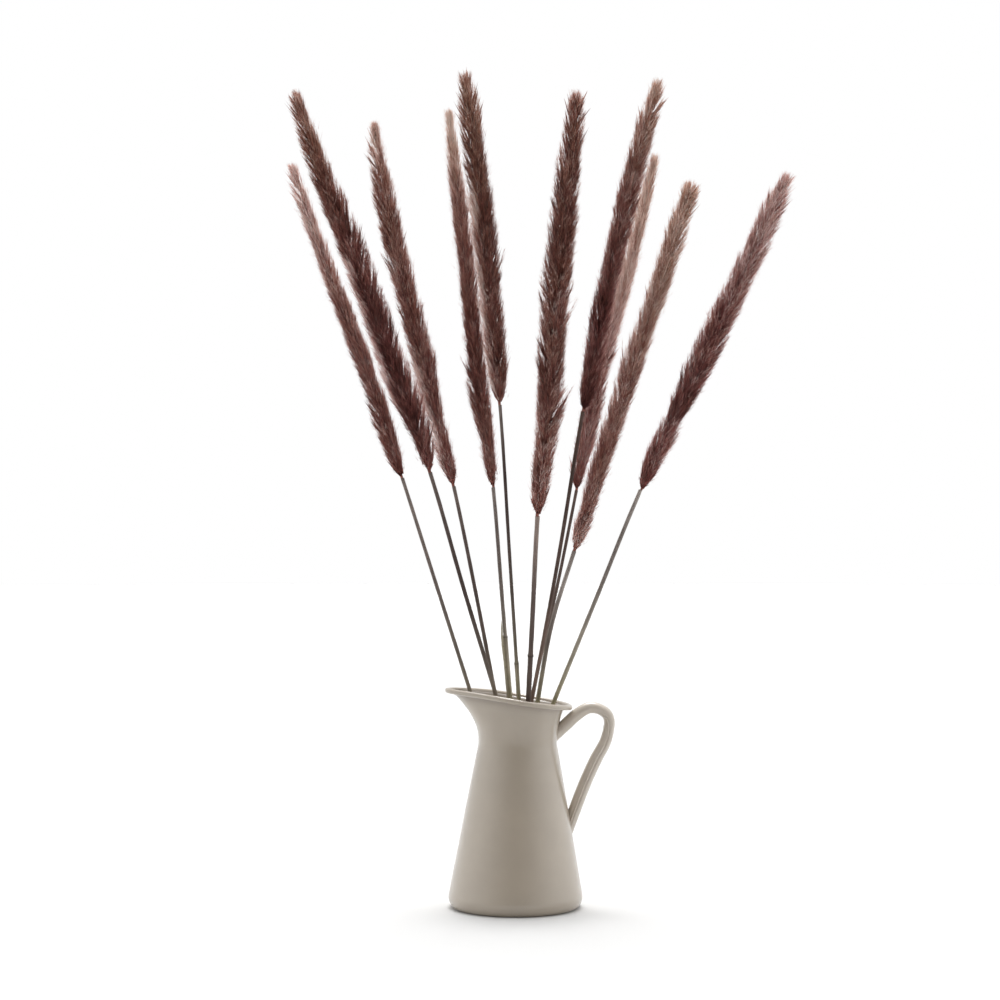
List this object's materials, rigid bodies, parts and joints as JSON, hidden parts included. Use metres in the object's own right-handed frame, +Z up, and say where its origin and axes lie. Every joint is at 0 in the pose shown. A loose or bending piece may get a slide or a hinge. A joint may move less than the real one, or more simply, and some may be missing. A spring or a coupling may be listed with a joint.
{
  "type": "dried grass plumes in an enamelled jug",
  "caption": "Tall dried reed-grass plumes fanned out in a cream enamelled steel jug with a spout and a side handle, for standing on a shelf or a floor.",
  "frame": {"origin": "middle of the jug's flat base, on the surface that it stands on", "axes": "+Z up; +X towards the side of the handle, -X towards the spout; -Y is the side that the arrangement faces"},
  "size_m": [0.6428, 0.3958, 1.0593],
  "materials": {
    "cream_enamel": "satin",
    "dry_stem": "matte",
    "plume_hair": "matte",
    "papery_straw": "matte"
  },
  "bodies": {
    "root": {"jug_body": "cream_enamel", "jug_mouth": "cream_enamel", "jug_base": "cream_enamel", "jug_handle": "cream_enamel", "reed_01_stem": "dry_stem", "reed_02_stem": "dry_stem", "reed_03_stem": "dry_stem", "reed_04_stem": "dry_stem", "reed_05_stem": "dry_stem", "reed_06_stem": "dry_stem", "reed_07_stem": "dry_stem", "reed_08_stem": "dry_stem", "reed_09_stem": "dry_stem", "reed_10_stem": "dry_stem", "reed_01_plume": "plume_hair", "reed_02_plume": "plume_hair", "reed_03_plume": "plume_hair", "reed_04_plume": "plume_hair", "reed_05_plume": "plume_hair", "reed_06_plume": "plume_hair", "reed_07_plume": "plume_hair", "reed_08_plume": "plume_hair", "reed_09_plume": "plume_hair", "reed_10_plume": "plume_hair", "reed_04_leaf": "papery_straw"}
  },
  "joints": []
}
